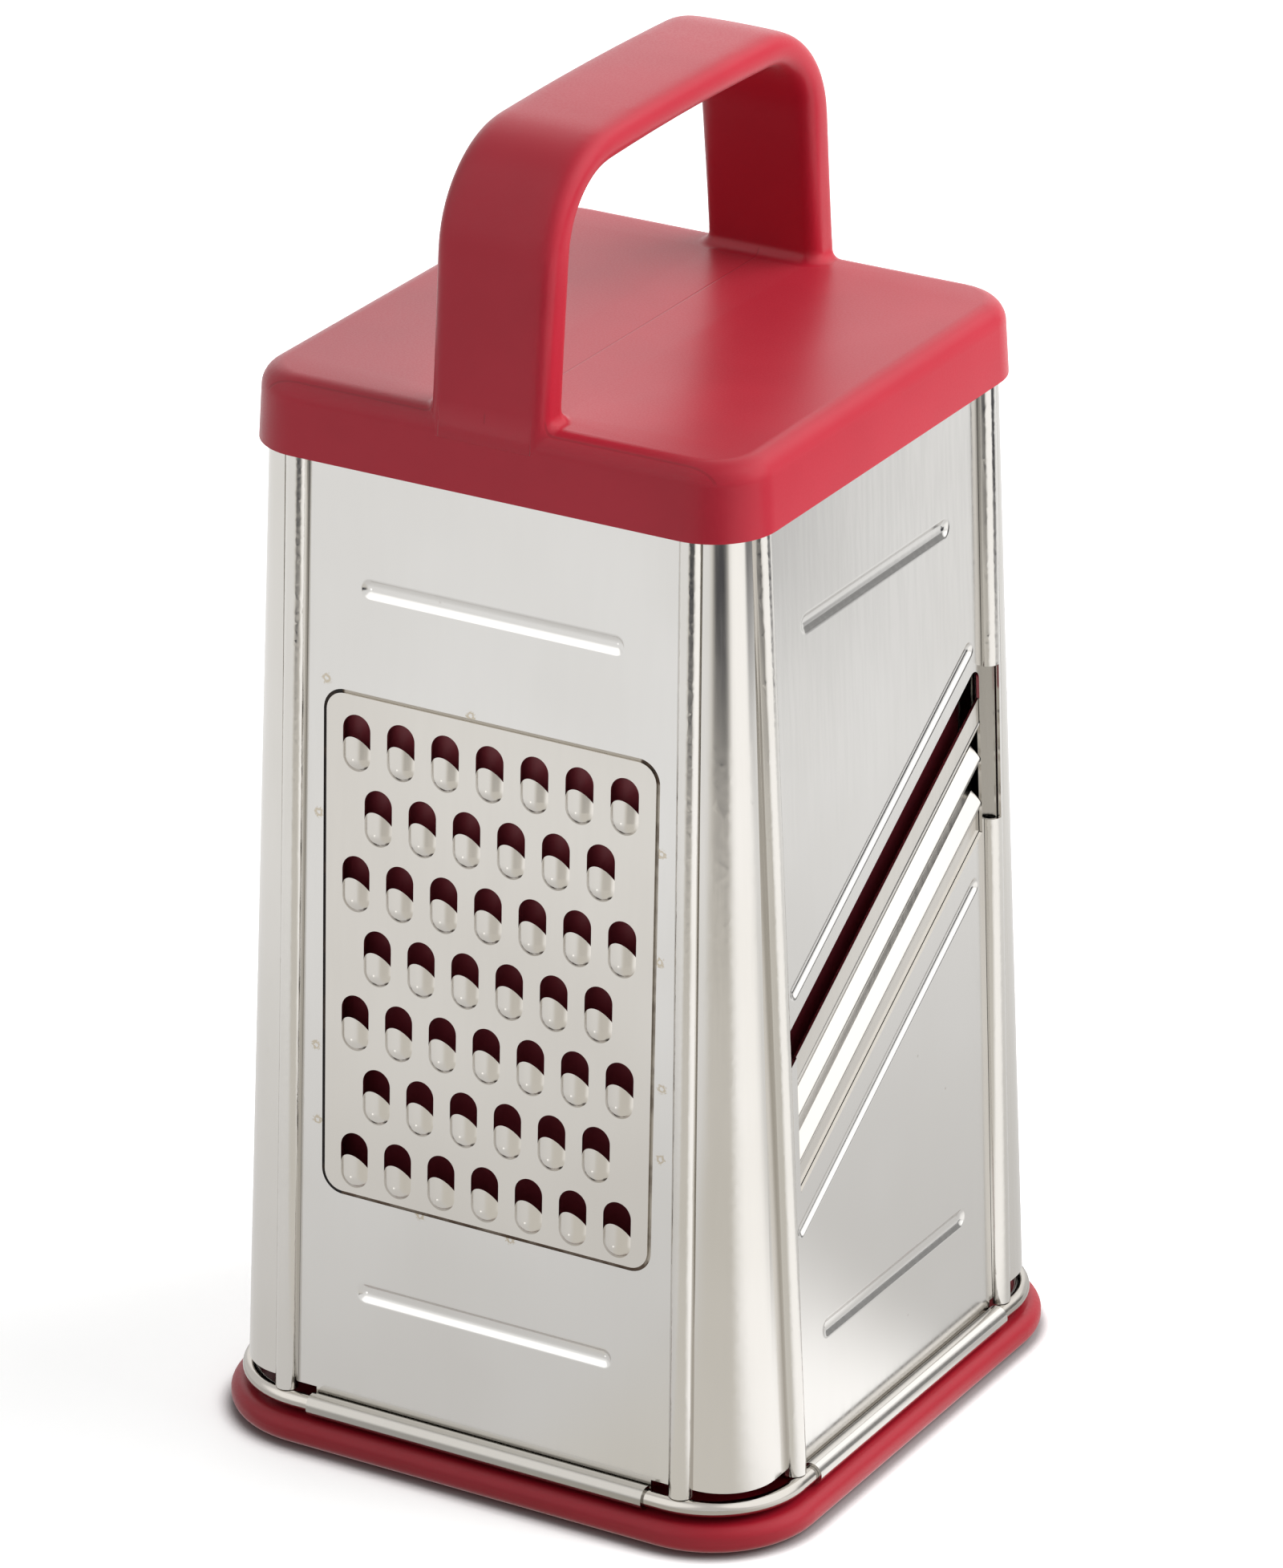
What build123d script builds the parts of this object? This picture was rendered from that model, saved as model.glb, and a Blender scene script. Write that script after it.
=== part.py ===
# Four-sided box grater: a red moulded cap with its handle, four stamped steel panels joined by
# rolled corner posts, a steel wire rim, and a red container that the metal body stands over.
# Millimetres, +Z up. The origin is the centre of the face that rests on the table.
# The coarse side faces -Y and the slicing side faces +X.
import os
from math import atan2, cos, radians, sin, sqrt, tan

from build123d import *

os.makedirs("parts", exist_ok=True)

# Steel sheet
sheet = 0.6
seam_gap = 0.05
cut_over = 2.0

# Wire rim, measured to the wire's centre line
wire_radius = 1.6
wire_z = 8.0
wire_half_x = 58.45
wire_half_y = 60.05
wire_corner = 18.0

# Metal body
hem_clearance = 0.05
body_height = 190.0
body_taper = 7.5

# Rolled corner posts. A spread runs from the wire's line, less the taper at the top, to the panel's flat
post_spread_top_front = 12.15
post_spread_bottom_front = 17.75
post_spread_top_side = 12.95
post_spread_bottom_side = 22.25
bead_radius = 2.35
post_corner_top = 6.3
post_corner_bottom = 11.2
post_proud_top = 0.7
post_proud_bottom = 0.05
post_notch = 1.6
post_foot_gap = 0.1

# Panels. The hem ends short of the wire's corner, and an inset is taken from the flat's lower end
hem_end_front = 3.85
hem_end_side = 5.45
hem_open_angle = 55.0
panel_skirt = 3.0
edge_lip = 1.6
groove_inset_front = 12.7
groove_inset_side = 9.8
groove_width = 4.4
groove_depth = 0.7
groove_lip = 1.0
groove_low = 25.2
groove_high = 166.1

# Grating windows in the front, back and left panels
window_inset_front = 5.1
window_inset_side = 2.2
window_low = 44.4
window_high = 145.6
window_corner = 4.5
plate_margin = 3.6
field_gap = 0.7
field_rise = 0.75

# Coarse grating
coarse_width = 5.9
coarse_pitch = 9.47
coarse_row_pitch = 13.95
coarse_first_drop = 4.4
coarse_open = 6.4
coarse_drop = 4.7
coarse_bulge = 1.5
scoop_lip_angle = 60.0

# Medium grating
medium_width = 4.0
medium_pitch = 6.6
medium_row_pitch = 9.4
medium_first_drop = 5.4
medium_open = 4.2
medium_drop = 3.0
medium_bulge = 1.0

# Fine grating
fine_hole = 0.8
fine_pitch = 5.0
fine_row_pitch = 4.8
fine_first_drop = 5.0

# Slicer: levels are measured from the panel's face, drops across the slope from the slot line
slicer_angle = 31.5
slicer_line = 108.4
slicer_inset_left = 3.6
slicer_beyond_right = 0.2
slot_inset_left = 1.5
slot_above = 3.2
slot_corner = 2.0
slicer_edge_drop = 3.2
slicer_edge_rise = 0.3
slicer_bevel = 1.0
slicer_land_drop = 8.3
slicer_land_depth = 0.45
slicer_rib_drops = (13.2, 20.9)
slicer_rib_radius = 2.6
slicer_rib_depth = 0.1
slicer_valley_depth = 3.2
slicer_window_drop = 26.35
slicer_margin_left = 3.2
slicer_margin_right = 2.4
slicer_end_gap = 0.15
bead_notch_low = 103.0
bead_notch_high = 134.0
slope_groove_above = 8.1
slope_groove_below = 32.8
slope_groove_width = 3.8
slope_groove_share = 10 / 9

# Cap
cap_wall = 2.5
cap_clearance = 1.3
cap_height = 14.3
cap_draft = 0.9
cap_corner = 12.75
cap_round = 4.5
cap_roof = 3.2
cap_seat_gap = 0.15

# Handle
handle_half_width = 12.1
handle_rise = 48.8
handle_thick_leg = 8.4
handle_thick_top = 6.2
handle_setback = 0.5
handle_lean_angle = 5.5
handle_corner = 22.5
handle_crown = 1.3
handle_edge = 2.9
handle_fillet = 2.2

# Container
flange_reach = 3.9
flange_drop = 2.55
flange_round = 2.4
bin_gap = 0.9
bin_rim = 140.0
bin_wall = 1.8
bin_floor = 2.2
bin_corner = 15.0
foot_recess = 1.2

# Sizes that follow from the driving ones
lean = atan2(body_taper, body_height)
cap_low = wire_z + body_height
cap_high = cap_low + cap_height
hem_inner = wire_radius + hem_clearance
reach_front = wire_half_y - hem_inner * cos(lean)
reach_side = wire_half_x - hem_inner * cos(lean)
flat_top_front = wire_half_x - body_taper - post_spread_top_front
flat_bottom_front = wire_half_x - post_spread_bottom_front
flat_top_side = wire_half_y - body_taper - post_spread_top_side
flat_bottom_side = wire_half_y - post_spread_bottom_side
body_top = cap_high - cap_roof - cap_seat_gap
pocket_half_y = reach_front - body_taper + cap_clearance
pocket_half_x = reach_side - body_taper + cap_clearance
cap_half_y = pocket_half_y + cap_wall
cap_half_x = pocket_half_x + cap_wall
handle_foot = cap_half_y - handle_setback
flange_half_x = wire_half_x + flange_reach
flange_half_y = wire_half_y + flange_reach
flange_corner = wire_corner + flange_reach

slicer_left = flat_bottom_side - slicer_inset_left
slicer_right = flat_bottom_side + slicer_beyond_right
slot_left = flat_bottom_side - slot_inset_left

# What the front and back have alike, and what the right and left have alike: the reach at wire level,
# then half widths of the flat at its two ends, of the hem, of the grooves and of a window
front_sizes = {
    "reach": reach_front, "flat_bottom": flat_bottom_front, "flat_top": flat_top_front,
    "hem": wire_half_x - wire_corner - hem_end_front, "groove": flat_bottom_front - groove_inset_front,
    "window": flat_bottom_front - window_inset_front,
}
side_sizes = {
    "reach": reach_side, "flat_bottom": flat_bottom_side, "flat_top": flat_top_side,
    "hem": wire_half_y - wire_corner - hem_end_side, "groove": flat_bottom_side - groove_inset_side,
    "window": flat_bottom_side - window_inset_side,
}
# In their order round the body
sides = {"front": front_sizes, "right": side_sizes, "back": front_sizes, "left": side_sizes}


def between(low, high, z):
    """The value at height z of a size that runs straight from wire level to the cap's lower edge."""
    return low + (high - low) * (z - wire_z) / body_height


def on_side(side, shape):
    """Stands a shape drawn flat, with Y up the slope and Z outwards, on one side of the body."""
    foot = wire_z - hem_inner * sin(lean)
    slope = Plane(origin=(0, -sides[side]["reach"], foot), x_dir=(1, 0, 0),
                  z_dir=(0, -cos(lean), sin(lean)))
    turn = 360 / len(sides) * list(sides).index(side)
    return Rot(0, 0, turn) * (slope * shape)


def slab(outline, low, high):
    """A closed outline of points, extruded from one height to another."""
    return Pos(0, 0, low) * extrude(make_face(Polyline(*outline, close=True)), high - low)


def up_slope(z):
    """How far up a panel's slope a height above the table is."""
    return (z - wire_z) / cos(lean)


def panel_half(side, up):
    """Half width at a distance up the slope, out to the middle of the bead."""
    flat = between(sides[side]["flat_bottom"], sides[side]["flat_top"], wire_z + up * cos(lean))
    return flat + bead_radius


def panel_blank(side):
    """The flat of a panel, its lower edge rolled round the wire, and side lips turned out below the cap."""
    low, high, lip_top = panel_skirt, up_slope(body_top), up_slope(cap_low - cap_seat_gap)
    at_low, at_high = panel_half(side, low), panel_half(side, high)
    blank = slab([(-at_low, low), (at_low, low), (at_high, high), (-at_high, high)], -sheet, 0)
    at_high = panel_half(side, lip_top)
    for hand in (1, -1):
        blank += slab([(hand * at_low, low), (hand * (at_low - sheet), low),
                       (hand * (at_high - sheet), lip_top), (hand * at_high, lip_top)], -sheet, edge_lip)
    half, top = sides[side]["hem"], low + sheet
    blank += slab([(-half, 0), (half, 0), (half, top), (-half, top)], -sheet, 0)
    return blank + hem_roll(half)


def hem_roll(half):
    """The rolled edge: a tube round the wire with its mouth turned in towards the panel."""
    outer = hem_inner + sheet
    mouth = [(0, 0)]
    for angle in (180, 180 - hem_open_angle / 2, 180 - hem_open_angle):
        mouth.append((2 * outer * cos(radians(angle)), 2 * outer * sin(radians(angle))))
    ring = Circle(outer) - Circle(hem_inner) - make_face(Polyline(*mouth, close=True))
    roll = extrude(ring, half, both=True)
    section = Plane(origin=(0, 0, hem_inner), x_dir=(0, 0, 1), z_dir=(-1, 0, 0))
    return section * roll


def groove_half(width, grow, top):
    """Half of a groove's section: its round floor and soft lip, offset by a thickness, closed off above."""
    rim = width / 2
    both = (rim ** 2 + groove_depth ** 2) / (2 * groove_depth)
    floor, lip = both - groove_lip + grow, groove_lip - grow
    centre = both - groove_lip - groove_depth
    turn = atan2(rim, centre + groove_lip)
    bottom = (0, centre - floor)
    meet = (floor * sin(turn), centre - floor * cos(turn))
    edges = [
        ThreePointArc(bottom, (floor * sin(turn / 2), centre - floor * cos(turn / 2)), meet),
        ThreePointArc(meet, (rim - lip * sin(turn / 2), lip * cos(turn / 2) - groove_lip), (rim, -grow)),
        Polyline((rim, -grow), (rim, top), (0, top), bottom),
    ]
    return make_face([edge for piece in edges for edge in piece.edges()])


def groove_bar(length, width, grow, top):
    """A groove's form along X: the section drawn out, with each end turned round."""
    half = groove_half(width, grow, top)
    reach = (length - width) / 2
    bar = extrude(Plane.YZ * (half + mirror(half, Plane.YZ)), reach, both=True)
    end = Rot(0, 0, 90) * revolve(Plane.XZ * half, Axis.Z, 180)
    return bar + Pos(-reach, 0, 0) * end + Pos(reach, 0, 0) * Rot(0, 0, 180) * end


def groove(panel, length, width, place):
    """Presses a round stiffening groove into a panel: a soft-lipped hollow outside, and its ridge behind."""
    return (panel + place * groove_bar(length, width, sheet, -sheet / 2)
            - place * groove_bar(length, width, 0, sheet))


def grooved_panel(side):
    """A panel's blank with its two level grooves."""
    panel = panel_blank(side)
    for height in (groove_low, groove_high):
        panel = groove(panel, 2 * sides[side]["groove"], groove_width, Pos(0, height, 0))
    return panel


def window_cut(side, grow, corner):
    """A side's window, a rounded rectangle, grown by a margin on each side."""
    tall = window_high - window_low
    middle = (window_high + window_low) / 2
    wide = 2 * sides[side]["window"]
    return Pos(0, middle, 0) * RectangleRounded(wide + 2 * grow, tall + 2 * grow, corner)


def grating_panel(side):
    window = extrude(window_cut(side, 0, window_corner), sheet + 2 * cut_over)
    return grooved_panel(side) - Pos(0, 0, -sheet - cut_over) * window


def raised_plate(side):
    """A plate that lies behind its panel, with a field pressed forward into the window."""
    back = -2 * sheet
    face = back + sheet + field_rise
    inner = field_gap + sheet
    flange = extrude(window_cut(side, plate_margin, window_corner + plate_margin), sheet)
    field = extrude(window_cut(side, -field_gap, window_corner - field_gap), face - back)
    hollow = extrude(window_cut(side, -inner, window_corner - inner), face - sheet - back)
    return Pos(0, 0, back) * (flange + field - hollow), face


def hole_places(side, width, tall, pitch, row_pitch, first_drop):
    """The tops of as many staggered holes as the field takes, in rows full and one shorter by turns."""
    across, first_top = 2 * (sides[side]["window"] - field_gap) - width, window_high - first_drop
    down = first_top - tall - window_low - field_gap
    columns, rows = 1 + int(across / pitch), 1 + int(down / row_pitch)
    places = []
    for row in range(rows):
        count = columns - row % 2
        for column in range(count):
            places.append(((column - (count - 1) / 2) * pitch, first_top - row * row_pitch))
    return places


def punch(radius, length):
    """The round-nosed bar that presses a scoop: a ball, and a bar that runs from it along Y."""
    bar = Rot(-90, 0, 0) * Cylinder(radius, length, align=(Align.CENTER, Align.CENTER, Align.MIN))
    return bar + Sphere(radius)


def scooped(plate, face, places, size):
    """Punches holes whose lower part is pushed out into a scoop with an arched cutting lip."""
    width, opening, drop, bulge = size
    half = width / 2
    back = drop - half
    radius = (half ** 2 + bulge ** 2) / (2 * bulge)
    reach = 4 * radius
    below = Rot(-scoop_lip_angle, 0, 0) * Pos(0, -reach / 2, 0) * Box(reach, reach, reach)
    outside = Pos(0, 0, reach / 2) * Box(reach, reach, reach)
    bump = (Pos(0, -back, bulge - radius) * punch(radius, reach)) & below & outside
    bowl = (Pos(0, -back, bulge - radius) * punch(radius - sheet, reach)) & below
    straight = opening - half
    mouth = Pos(0, straight / 2) * Rectangle(width, straight) + Pos(0, straight) * Circle(half)
    hole = Pos(0, 0, -sheet - cut_over) * extrude(mouth, sheet + cut_over)
    spots = [Pos(across, top - opening, face) for across, top in places]
    plate = plate + [spot * bump for spot in spots]
    return plate - [spot * bowl for spot in spots] - [spot * hole for spot in spots]


def scoop_plate(side, size, pitch, row_pitch, first_drop):
    plate, face = raised_plate(side)
    width, opening, drop, _ = size
    places = hole_places(side, width, opening + drop, pitch, row_pitch, first_drop)
    return scooped(plate, face, places, size)


def pierced_plate(side):
    """The fine side: staggered small holes through the raised field."""
    plate, _ = raised_plate(side)
    drill = Pos(0, 0, -2 * sheet - cut_over) * Cylinder(fine_hole, 2 * (sheet + cut_over) + field_rise,
                                                        align=(Align.CENTER, Align.CENTER, Align.MIN))
    places = hole_places(side, 2 * fine_hole, fine_hole, fine_pitch, fine_row_pitch, fine_first_drop)
    return plate - [Pos(across, up, 0) * drill for across, up in places]


def slicer_outline(left, right, top_drop, bottom_drop):
    """A parallelogram with upright ends, between two drops below the slot line."""
    a = radians(slicer_angle)
    corners = ((left, bottom_drop), (right, bottom_drop), (right, top_drop), (left, top_drop))
    return [(end, slicer_line + end * tan(a) - drop / cos(a)) for end, drop in corners]


def slope_groove(panel, drop):
    """A pressed groove along the blade's slope, in the middle of the panel."""
    up = slicer_line - drop / cos(radians(slicer_angle))
    length = 2 * flat_bottom_side * slope_groove_share
    return groove(panel, length, slope_groove_width, Pos(0, up, 0) * Rot(0, 0, slicer_angle))


def slicer_panel():
    """The panel with the slicing slot, and the window below it that shows the ribbed plate."""
    panel = grooved_panel("right")
    slot = slicer_outline(-slot_left, slicer_right, -slot_above, slicer_edge_drop)
    slot = slab(slot, -sheet - cut_over, cut_over)
    far_end = slot.edges().filter_by(Axis.Z).sort_by(Axis.Y)[-1]
    slot = fillet(far_end, slot_corner)
    window = slab(slicer_outline(-slicer_left, slicer_right, 0, slicer_window_drop),
                  -sheet - cut_over, cut_over)
    panel -= slot + window
    for drop in (-slope_groove_above, slope_groove_below):
        panel = slope_groove(panel, drop)
    return panel


def corrugation(inset):
    """The ribbed plate's outer face, from its lower edge to its cutting edge, sunk by an inset all over."""
    radius = slicer_rib_radius - inset
    centre = -slicer_rib_depth - slicer_rib_radius
    floor = -slicer_valley_depth - inset
    base = -sheet - inset
    upper, lower = slicer_rib_drops
    foot = sqrt(radius ** 2 - (base - centre) ** 2)
    start = (-slicer_window_drop - plate_margin, base)
    land = (-slicer_land_drop + inset, -slicer_land_depth - inset)
    path = [
        Line(start, (-lower - foot, base)),
        ThreePointArc((-lower - foot, base), (-lower, centre + radius), (-lower + radius, centre)),
        Polyline((-lower + radius, centre), (-lower + radius, floor), (-upper - radius, floor),
                 (-upper - radius, centre)),
        ThreePointArc((-upper - radius, centre), (-upper, centre + radius), (-upper + radius, centre)),
        Polyline((-upper + radius, centre), (-upper + radius, floor), (land[0], floor), land),
    ]
    return path, start, land


def slicer_section():
    """The ribbed plate's section across the slope, with its cutting edge ground from outside."""
    face, face_start, face_land = corrugation(0)
    back, back_start, back_land = corrugation(sheet)
    rise = (slicer_edge_rise + slicer_land_depth) / (slicer_land_drop - slicer_edge_drop)
    ground = (-slicer_edge_drop - slicer_bevel, slicer_edge_rise - rise * slicer_bevel)
    tip = (-slicer_edge_drop, slicer_edge_rise - sheet)
    edges = face + back
    edges += [Polyline(face_land, ground, tip, back_land), Line(face_start, back_start)]
    return make_face([edge for piece in edges for edge in piece.edges()])


def slicer_blade():
    """The blade plate: two round ribs and a ground edge in the window, and flat ends behind the panel."""
    reach = 4 * slicer_right
    lay = Pos(0, slicer_line, 0) * Rot(0, 0, slicer_angle)
    across = Plane(origin=(0, 0, 0), x_dir=(0, 1, 0), z_dir=(1, 0, 0))
    left, right = -slicer_left + slicer_end_gap, slicer_right - slicer_end_gap
    far_left, far_right = -slicer_left - slicer_margin_left, slicer_right + slicer_margin_right
    plate = lay * extrude(across * slicer_section(), reach, both=True)
    top = up_slope(body_top)
    plate &= slab([(far_left, 0), (far_right, 0), (far_right, top), (far_left, top)], -reach, reach)
    lowest = slicer_window_drop + plate_margin
    for near, far in ((left, far_left), (right, far_right)):
        ends = (min(near, far), max(near, far))
        plate -= slab(slicer_outline(*ends, -slot_above, lowest), -sheet, cut_over)
        plate += slab(slicer_outline(*ends, slicer_land_drop, lowest), -2 * sheet, -sheet)
    brim = slicer_outline(far_left, far_right, slicer_window_drop + slicer_end_gap, lowest)
    return plate - slab(brim, -sheet, cut_over)


def bead_notch():
    """The part of a bead that is cut away beside the slicer, down to the panel and its lip."""
    low, high = bead_notch_low, bead_notch_high
    inner_low, inner_high = panel_half("right", low), panel_half("right", high)
    return slab([(inner_low - 2 * bead_radius, low), (inner_low, low), (inner_high, high),
                 (inner_high - 2 * bead_radius, high)], -sheet, 2 * bead_radius)


def post_section(z):
    """A corner post's section at one height, for the corner towards +X and -Y."""
    front = between(reach_front, reach_front - body_taper, z)
    side = between(reach_side, reach_side - body_taper, z)
    flat_front = between(flat_bottom_front, flat_top_front, z)
    flat_side = between(flat_bottom_side, flat_top_side, z)
    corner = between(post_corner_bottom, post_corner_top, z)
    proud = between(post_proud_bottom, post_proud_top, z)
    inner = bead_radius - sheet
    across, up = flat_front, front + seam_gap
    along, out = flat_side, side + seam_gap
    diagonal = corner * (1 - sqrt(0.5))
    slim = (corner - sheet) * (1 - sqrt(0.5))
    x_out, y_out = side + proud, front + proud

    def at(x, y):
        return (x, -y, z)

    foot_front, foot_side = across + 2 * bead_radius, along + 2 * bead_radius
    edges = [
        ThreePointArc(at(across, up), at(across + bead_radius, up + bead_radius), at(foot_front, up)),
        Line(at(foot_front, up), at(x_out - corner, y_out)),
        ThreePointArc(at(x_out - corner, y_out), at(x_out - diagonal, y_out - diagonal),
                      at(x_out, y_out - corner)),
        Line(at(x_out, y_out - corner), at(out, foot_side)),
        ThreePointArc(at(out, foot_side), at(out + bead_radius, along + bead_radius), at(out, along)),
        Line(at(out, along), at(out, along + sheet)),
        ThreePointArc(at(out, along + sheet), at(out + inner, along + bead_radius),
                      at(out, foot_side - sheet)),
        Line(at(out, foot_side - sheet), at(out - sheet, foot_side - sheet)),
        Line(at(out - sheet, foot_side - sheet), at(x_out - sheet, y_out - corner)),
        ThreePointArc(at(x_out - sheet, y_out - corner), at(x_out - sheet - slim, y_out - sheet - slim),
                      at(x_out - corner, y_out - sheet)),
        Line(at(x_out - corner, y_out - sheet), at(foot_front - sheet, up - sheet)),
        Line(at(foot_front - sheet, up - sheet), at(foot_front - sheet, up)),
        ThreePointArc(at(foot_front - sheet, up), at(across + bead_radius, up + inner),
                      at(across + sheet, up)),
        Line(at(across + sheet, up), at(across, up)),
    ]
    return make_face(edges)


def corner_post():
    """One rolled post: two hollow beads over the panels' lips, and a rounded corner that widens downwards."""
    low = wire_z + wire_radius + post_foot_gap
    post = loft([post_section(low), post_section(body_top)], ruled=True)
    notch_x = flat_bottom_front + 2 * bead_radius
    notch_y = flat_bottom_side + 2 * bead_radius
    post -= Pos(notch_x, -notch_y, low - cut_over) * Box(
        wire_half_x, wire_half_y, post_notch + cut_over, align=(Align.MIN, Align.MAX, Align.MIN))
    above = cap_low - cap_seat_gap
    tall = cap_height + cut_over
    ring = Pos(0, 0, above) * extrude(Rectangle(4 * cap_half_x, 4 * cap_half_y), tall)
    ring -= Pos(0, 0, above) * extrude(pocket_outline(-cap_seat_gap), tall)
    return post - ring


def pocket_outline(grow):
    """The cap's socket for the metal body, seen from above."""
    corner = post_corner_top + cap_clearance - post_proud_top
    return RectangleRounded(2 * (pocket_half_x + grow), 2 * (pocket_half_y + grow), corner + grow)


def mirrored(shape, flip_x, flip_y):
    if flip_x:
        shape = mirror(shape, Plane.YZ)
    if flip_y:
        shape = mirror(shape, Plane.XZ)
    return shape


def wire_rim():
    """The closed wire loop that the panels' lower edges roll round."""
    path = RectangleRounded(2 * wire_half_x, 2 * wire_half_y, wire_corner).wire()
    start = path.position_at(0)
    section = Plane(origin=start, z_dir=path.tangent_at(0)) * Circle(wire_radius)
    return Pos(0, 0, wire_z) * sweep(section, path=path)


def cap_shell():
    """The square moulded cap: drafted sides, a rounded top edge and a socket for the metal body."""
    lower = Pos(0, 0, cap_low) * RectangleRounded(2 * cap_half_x, 2 * cap_half_y, cap_corner)
    upper = Pos(0, 0, cap_high) * RectangleRounded(
        2 * (cap_half_x - cap_draft), 2 * (cap_half_y - cap_draft), cap_corner - cap_draft)
    shell = loft([lower, upper], ruled=True)
    return fillet(shell.faces().sort_by(Axis.Z)[-1].edges(), cap_round)


def arch_outline(foot, top, low):
    """Points of an arch seen from the side: front foot, front corner, crown, rear corner, rear foot."""
    shoulder = foot - (top - low) * tan(radians(handle_lean_angle))
    return (-foot, low), (-shoulder, top), (0, top + handle_crown), (shoulder, top), (foot, low)


def handle_arch():
    """The broad strap handle: an arch from the cap's front face to its back face."""
    low = cap_high - cap_round
    top = cap_high + handle_rise
    outer = arch_outline(handle_foot, top, low)
    inner = arch_outline(handle_foot - handle_thick_leg, top - handle_thick_top, low)
    edges = []
    for foot_a, corner_a, crown, corner_b, foot_b in (outer, inner):
        edges += [Line(foot_a, corner_a), ThreePointArc(corner_a, crown, corner_b), Line(corner_b, foot_b)]
    edges += [Line(outer[0], inner[0]), Line(outer[-1], inner[-1])]
    side = Sketch() + make_face(edges)
    for corners, radius in ((outer, handle_corner), (inner, handle_corner - handle_thick_leg)):
        picked = [v for v in side.vertices()
                  if abs(v.Y - corners[1][1]) < sheet and abs(abs(v.X) - corners[3][0]) < sheet]
        side = fillet(picked, radius)
    strap = extrude(Plane.YZ * side, handle_half_width, both=True)
    flats = strap.faces().filter_by(Axis.X)
    rims = [e for e in flats.edges() if e.center().Z > low + sheet]
    return fillet(rims, handle_edge)


def handle_cap():
    shell = cap_shell() + handle_arch()
    joint = [e for e in shell.edges() if abs(e.center().Z - cap_high) < sheet / 2
             and abs(e.center().X) < handle_half_width + sheet and abs(e.center().Y) < cap_half_y - cap_round]
    shell = fillet(joint, handle_fillet)
    pocket = Pos(0, 0, cap_low - cut_over) * extrude(pocket_outline(0), cap_height - cap_roof + cut_over)
    return shell - pocket


def catch_container():
    """The container: a broad flange that the wire rim stands on, and a bin inside the metal body."""
    rim = wire_z + bin_rim
    half_y = between(reach_front, reach_front - body_taper, rim) - 2 * sheet - bin_gap
    half_x = between(reach_side, reach_side - body_taper, rim) - slicer_valley_depth - sheet - bin_gap
    flange = RectangleRounded(2 * flange_half_x, 2 * flange_half_y, flange_corner)
    flange = extrude(flange, wire_z - flange_drop)
    rims = flange.faces().sort_by(Axis.Z)[0].edges() + flange.faces().sort_by(Axis.Z)[-1].edges()
    flange = fillet(rims, flange_round)
    bin_outer = extrude(RectangleRounded(2 * half_x, 2 * half_y, bin_corner), rim)
    inside = RectangleRounded(2 * (half_x - bin_wall), 2 * (half_y - bin_wall), bin_corner - bin_wall)
    hollow = Pos(0, 0, foot_recess + bin_floor) * extrude(inside, rim)
    recess = extrude(RectangleRounded(2 * half_x, 2 * half_y, bin_corner), foot_recess)
    return flange + bin_outer - hollow - recess


def build_nodes():
    """Every piece of the grater in its own place, by name."""
    nodes = {"handle_cap": handle_cap(), "catch_container": catch_container(), "wire_rim": wire_rim()}
    for side in ("front", "back", "left"):
        nodes[side + "_panel"] = on_side(side, grating_panel(side))
    nodes["right_panel"] = on_side("right", slicer_panel())
    nodes["slicer_plate"] = on_side("right", slicer_blade())
    nodes["coarse_grating_plate"] = on_side("front", scoop_plate(
        "front", (coarse_width, coarse_open, coarse_drop, coarse_bulge),
        coarse_pitch, coarse_row_pitch, coarse_first_drop))
    nodes["medium_grating_plate"] = on_side("back", scoop_plate(
        "back", (medium_width, medium_open, medium_drop, medium_bulge),
        medium_pitch, medium_row_pitch, medium_first_drop))
    nodes["fine_grating_plate"] = on_side("left", pierced_plate("left"))
    post = corner_post()
    for name, flip_x, flip_y in (("front_right_post", False, False), ("front_left_post", True, False),
                                 ("back_right_post", False, True), ("back_left_post", True, True)):
        nodes[name] = mirrored(post, flip_x, flip_y)
    nodes["back_right_post"] -= on_side("right", bead_notch())
    return nodes


for name, shape in build_nodes().items():
    export_step(shape, f"parts/{name}.step")
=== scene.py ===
"""Looks of a four-sided box grater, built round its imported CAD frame."""
from math import atan2, cos, pi, radians, sin

import bmesh
import bpy
from mathutils import Matrix, Vector


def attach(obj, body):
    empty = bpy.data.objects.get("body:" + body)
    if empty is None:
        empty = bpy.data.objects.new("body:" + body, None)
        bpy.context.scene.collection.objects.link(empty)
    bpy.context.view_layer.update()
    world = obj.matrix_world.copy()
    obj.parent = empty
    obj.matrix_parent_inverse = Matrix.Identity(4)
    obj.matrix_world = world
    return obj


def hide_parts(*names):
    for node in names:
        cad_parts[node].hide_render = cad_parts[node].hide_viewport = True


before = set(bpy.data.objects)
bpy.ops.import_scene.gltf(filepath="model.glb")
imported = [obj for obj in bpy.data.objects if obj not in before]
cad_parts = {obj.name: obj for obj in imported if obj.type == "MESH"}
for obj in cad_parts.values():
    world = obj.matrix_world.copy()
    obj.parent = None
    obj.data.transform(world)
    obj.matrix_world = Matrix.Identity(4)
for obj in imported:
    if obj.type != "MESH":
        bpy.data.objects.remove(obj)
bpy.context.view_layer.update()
scene = bpy.context.scene

MM = 0.001
WHITE = (1, 1, 1, 1)

# Camera, fitted to the photograph's straight edges
PHOTO_WIDTH, PHOTO_HEIGHT = 1600, 1955
FOCAL_PIXELS = 10518.47
SENSOR_WIDTH = 36
CLIP_NEAR, CLIP_FAR = 0.05, 50
CAMERA_AZIMUTH = radians(30.44)
CAMERA_ELEVATION = radians(23.91)
CAMERA_ROLL = radians(-0.13)
CAMERA_DISTANCE = 1578.84 * MM
AIM_RIGHT = 0.58 * MM
AIM_HEIGHT = 121.26 * MM


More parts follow.
